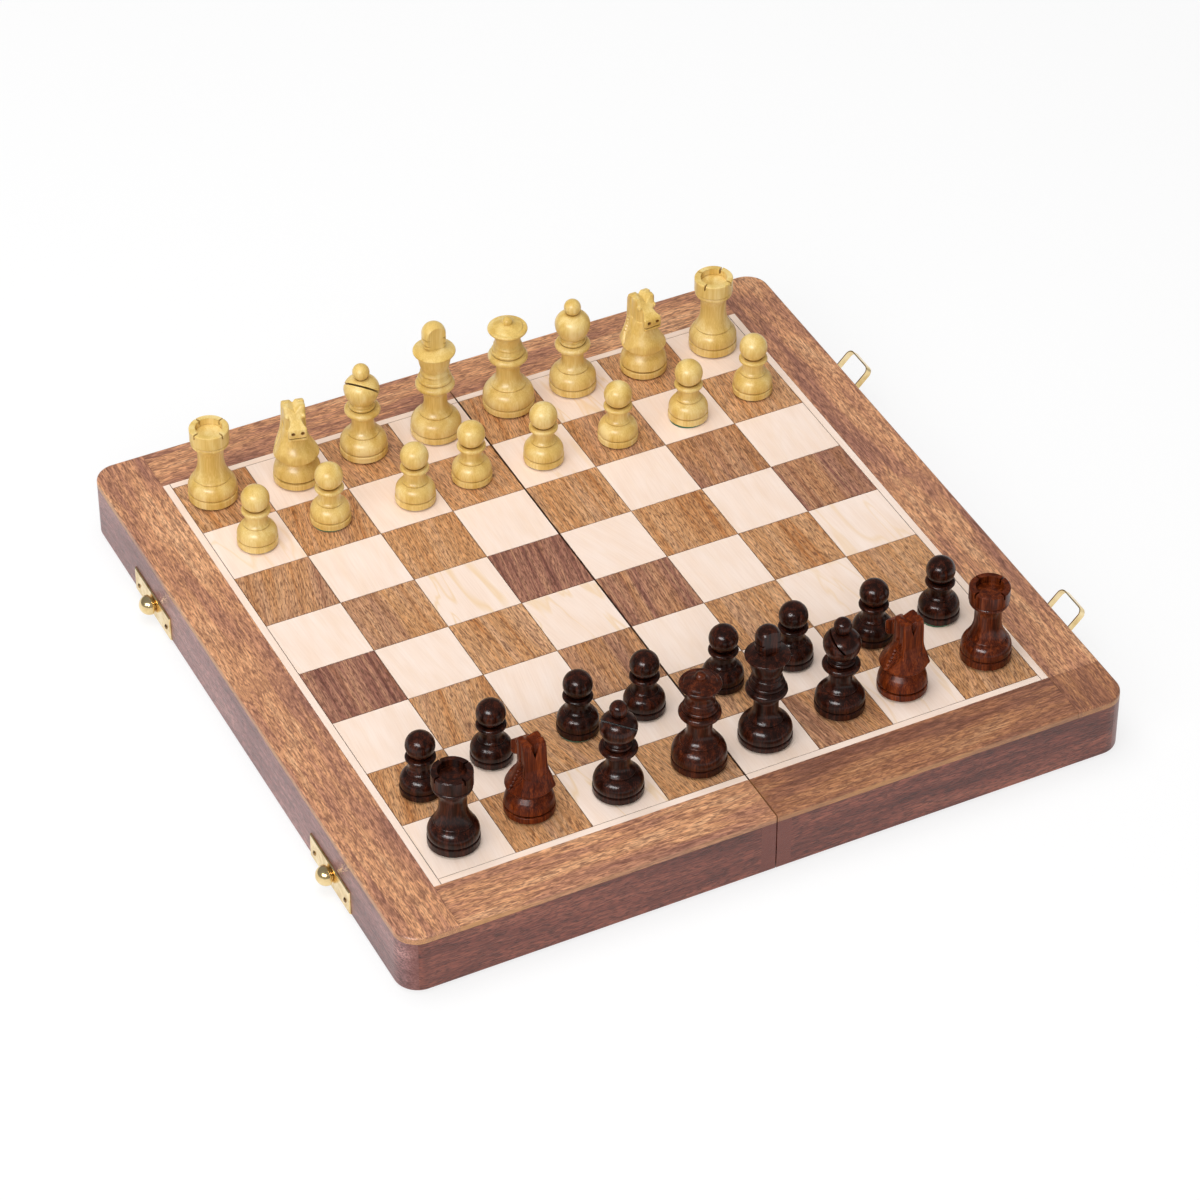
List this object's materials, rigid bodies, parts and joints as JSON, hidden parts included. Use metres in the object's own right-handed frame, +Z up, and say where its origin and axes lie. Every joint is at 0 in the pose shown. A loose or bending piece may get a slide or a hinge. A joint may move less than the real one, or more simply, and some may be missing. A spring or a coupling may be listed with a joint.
{
  "type": "folding chess board with men",
  "caption": "A folding wooden chess board whose hinged halves hold the men inside, with brass bails and knobs that hook shut; turned light and dark men stand on it.",
  "frame": {"origin": "on the table under the middle of the fold line, just beneath the left spine rail's rim", "axes": "+X to the right across the fold line, +Y to the back along it, +Z up"},
  "size_m": [0.327, 0.304, 0.0828],
  "materials": {
    "rail_wood": "satin lacquer, reddish purple-brown",
    "border_wood": "satin lacquer, pinkish brown with open pores",
    "panel_wood": "plain plywood",
    "dark_square_wood": "satin lacquer, golden to purple-brown",
    "maple": "satin lacquer, cream",
    "light_man_wood": "gloss lacquer, pale yellow",
    "dark_man_wood": "gloss lacquer, very dark red-brown",
    "brass": "polished",
    "steel": "thin tinned sheet",
    "felt": "short green felt"
  },
  "bodies": {
    "left_half": {"left_side_rail": "rail_wood", "left_end_rails": "rail_wood", "left_spine_rail": "rail_wood", "left_border_strips": "border_wood", "left_panel": "panel_wood", "left_steel_sheet": "steel", "left_dark_squares": "dark_square_wood", "left_maple_inlay": "maple", "left_lining": "felt", "left_hinge_leaves": "brass", "left_screws": "brass", "hinge_pins": "brass", "catch_plates": "brass", "catch_knobs": "brass"},
    "right_half": {"right_side_rail": "rail_wood", "right_end_rails": "rail_wood", "right_spine_rail": "rail_wood", "right_border_strips": "border_wood", "right_panel": "panel_wood", "right_steel_sheet": "steel", "right_dark_squares": "dark_square_wood", "right_maple_inlay": "maple", "right_lining": "felt", "right_hinge_leaves": "brass", "right_screws": "brass", "bail_brackets": "brass"},
    "front_bail": {"front_bail": "brass"},
    "rear_bail": {"rear_bail": "brass"},
    "light_rook_left": {"light_rook_left": "light_man_wood"},
    "light_knight_left": {"light_knight_left": "light_man_wood"},
    "light_bishop_left": {"light_bishop_left": "light_man_wood"},
    "light_king": {"light_king": "light_man_wood"},
    "light_queen": {"light_queen": "light_man_wood"},
    "light_bishop_right": {"light_bishop_right": "light_man_wood"},
    "light_knight_right": {"light_knight_right": "light_man_wood"},
    "light_rook_right": {"light_rook_right": "light_man_wood"},
    "light_pawn_1": {"light_pawn_1": "light_man_wood"},
    "light_pawn_2": {"light_pawn_2": "light_man_wood"},
    "light_pawn_3": {"light_pawn_3": "light_man_wood"},
    "light_pawn_4": {"light_pawn_4": "light_man_wood"},
    "light_pawn_5": {"light_pawn_5": "light_man_wood"},
    "light_pawn_6": {"light_pawn_6": "light_man_wood"},
    "light_pawn_7": {"light_pawn_7": "light_man_wood"},
    "light_pawn_8": {"light_pawn_8": "light_man_wood"},
    "dark_rook_left": {"dark_rook_left": "dark_man_wood"},
    "dark_knight_left": {"dark_knight_left": "dark_man_wood"},
    "dark_bishop_left": {"dark_bishop_left": "dark_man_wood"},
    "dark_queen": {"dark_queen": "dark_man_wood"},
    "dark_king": {"dark_king": "dark_man_wood"},
    "dark_bishop_right": {"dark_bishop_right": "dark_man_wood"},
    "dark_knight_right": {"dark_knight_right": "dark_man_wood"},
    "dark_rook_right": {"dark_rook_right": "dark_man_wood"},
    "dark_pawn_1": {"dark_pawn_1": "dark_man_wood"},
    "dark_pawn_2": {"dark_pawn_2": "dark_man_wood"},
    "dark_pawn_3": {"dark_pawn_3": "dark_man_wood"},
    "dark_pawn_4": {"dark_pawn_4": "dark_man_wood"},
    "dark_pawn_5": {"dark_pawn_5": "dark_man_wood"},
    "dark_pawn_6": {"dark_pawn_6": "dark_man_wood"},
    "dark_pawn_7": {"dark_pawn_7": "dark_man_wood"},
    "dark_pawn_8": {"dark_pawn_8": "dark_man_wood"}
  },
  "joints": [
    {"name": "board_fold", "type": "hinge", "parent": "left_half", "child": "right_half", "pos_m": [0, 0, 0.0011], "axis": [0, 1, 0], "range_deg": [0, 180]},
    {"name": "bail_swing_front", "type": "hinge", "parent": "right_half", "child": "front_bail", "pos_m": [0.15485, -0.0865, 0.0069], "axis": [0, 1, 0], "range_deg": [-44, 136]},
    {"name": "bail_swing_rear", "type": "hinge", "parent": "right_half", "child": "rear_bail", "pos_m": [0.15485, 0.0865, 0.0069], "axis": [0, 1, 0], "range_deg": [-44, 136]},
    {"name": "lift_light_rook_left", "type": "slide", "parent": "left_half", "child": "light_rook_left", "axis": [0, 0, 1], "range_m": [0, 0.08]},
    {"name": "lift_light_knight_left", "type": "slide", "parent": "left_half", "child": "light_knight_left", "axis": [0, 0, 1], "range_m": [0, 0.08]},
    {"name": "lift_light_bishop_left", "type": "slide", "parent": "left_half", "child": "light_bishop_left", "axis": [0, 0, 1], "range_m": [0, 0.08]},
    {"name": "lift_light_king", "type": "slide", "parent": "left_half", "child": "light_king", "axis": [0, 0, 1], "range_m": [0, 0.08]},
    {"name": "lift_light_queen", "type": "slide", "parent": "right_half", "child": "light_queen", "axis": [0, 0, 1], "range_m": [0, 0.08]},
    {"name": "lift_light_bishop_right", "type": "slide", "parent": "right_half", "child": "light_bishop_right", "axis": [0, 0, 1], "range_m": [0, 0.08]},
    {"name": "lift_light_knight_right", "type": "slide", "parent": "right_half", "child": "light_knight_right", "axis": [0, 0, 1], "range_m": [0, 0.08]},
    {"name": "lift_light_rook_right", "type": "slide", "parent": "right_half", "child": "light_rook_right", "axis": [0, 0, 1], "range_m": [0, 0.08]},
    {"name": "lift_light_pawn_1", "type": "slide", "parent": "left_half", "child": "light_pawn_1", "axis": [0, 0, 1], "range_m": [0, 0.08]},
    {"name": "lift_light_pawn_2", "type": "slide", "parent": "left_half", "child": "light_pawn_2", "axis": [0, 0, 1], "range_m": [0, 0.08]},
    {"name": "lift_light_pawn_3", "type": "slide", "parent": "left_half", "child": "light_pawn_3", "axis": [0, 0, 1], "range_m": [0, 0.08]},
    {"name": "lift_light_pawn_4", "type": "slide", "parent": "left_half", "child": "light_pawn_4", "axis": [0, 0, 1], "range_m": [0, 0.08]},
    {"name": "lift_light_pawn_5", "type": "slide", "parent": "right_half", "child": "light_pawn_5", "axis": [0, 0, 1], "range_m": [0, 0.08]},
    {"name": "lift_light_pawn_6", "type": "slide", "parent": "right_half", "child": "light_pawn_6", "axis": [0, 0, 1], "range_m": [0, 0.08]},
    {"name": "lift_light_pawn_7", "type": "slide", "parent": "right_half", "child": "light_pawn_7", "axis": [0, 0, 1], "range_m": [0, 0.08]},
    {"name": "lift_light_pawn_8", "type": "slide", "parent": "right_half", "child": "light_pawn_8", "axis": [0, 0, 1], "range_m": [0, 0.08]},
    {"name": "lift_dark_rook_left", "type": "slide", "parent": "left_half", "child": "dark_rook_left", "axis": [0, 0, 1], "range_m": [0, 0.08]},
    {"name": "lift_dark_knight_left", "type": "slide", "parent": "left_half", "child": "dark_knight_left", "axis": [0, 0, 1], "range_m": [0, 0.08]},
    {"name": "lift_dark_bishop_left", "type": "slide", "parent": "left_half", "child": "dark_bishop_left", "axis": [0, 0, 1], "range_m": [0, 0.08]},
    {"name": "lift_dark_queen", "type": "slide", "parent": "left_half", "child": "dark_queen", "axis": [0, 0, 1], "range_m": [0, 0.08]},
    {"name": "lift_dark_king", "type": "slide", "parent": "right_half", "child": "dark_king", "axis": [0, 0, 1], "range_m": [0, 0.08]},
    {"name": "lift_dark_bishop_right", "type": "slide", "parent": "right_half", "child": "dark_bishop_right", "axis": [0, 0, 1], "range_m": [0, 0.08]},
    {"name": "lift_dark_knight_right", "type": "slide", "parent": "right_half", "child": "dark_knight_right", "axis": [0, 0, 1], "range_m": [0, 0.08]},
    {"name": "lift_dark_rook_right", "type": "slide", "parent": "right_half", "child": "dark_rook_right", "axis": [0, 0, 1], "range_m": [0, 0.08]},
    {"name": "lift_dark_pawn_1", "type": "slide", "parent": "left_half", "child": "dark_pawn_1", "axis": [0, 0, 1], "range_m": [0, 0.08]},
    {"name": "lift_dark_pawn_2", "type": "slide", "parent": "left_half", "child": "dark_pawn_2", "axis": [0, 0, 1], "range_m": [0, 0.08]},
    {"name": "lift_dark_pawn_3", "type": "slide", "parent": "left_half", "child": "dark_pawn_3", "axis": [0, 0, 1], "range_m": [0, 0.08]},
    {"name": "lift_dark_pawn_4", "type": "slide", "parent": "left_half", "child": "dark_pawn_4", "axis": [0, 0, 1], "range_m": [0, 0.08]},
    {"name": "lift_dark_pawn_5", "type": "slide", "parent": "right_half", "child": "dark_pawn_5", "axis": [0, 0, 1], "range_m": [0, 0.08]},
    {"name": "lift_dark_pawn_6", "type": "slide", "parent": "right_half", "child": "dark_pawn_6", "axis": [0, 0, 1], "range_m": [0, 0.08]},
    {"name": "lift_dark_pawn_7", "type": "slide", "parent": "right_half", "child": "dark_pawn_7", "axis": [0, 0, 1], "range_m": [0, 0.08]},
    {"name": "lift_dark_pawn_8", "type": "slide", "parent": "right_half", "child": "dark_pawn_8", "axis": [0, 0, 1], "range_m": [0, 0.08]}
  ]
}
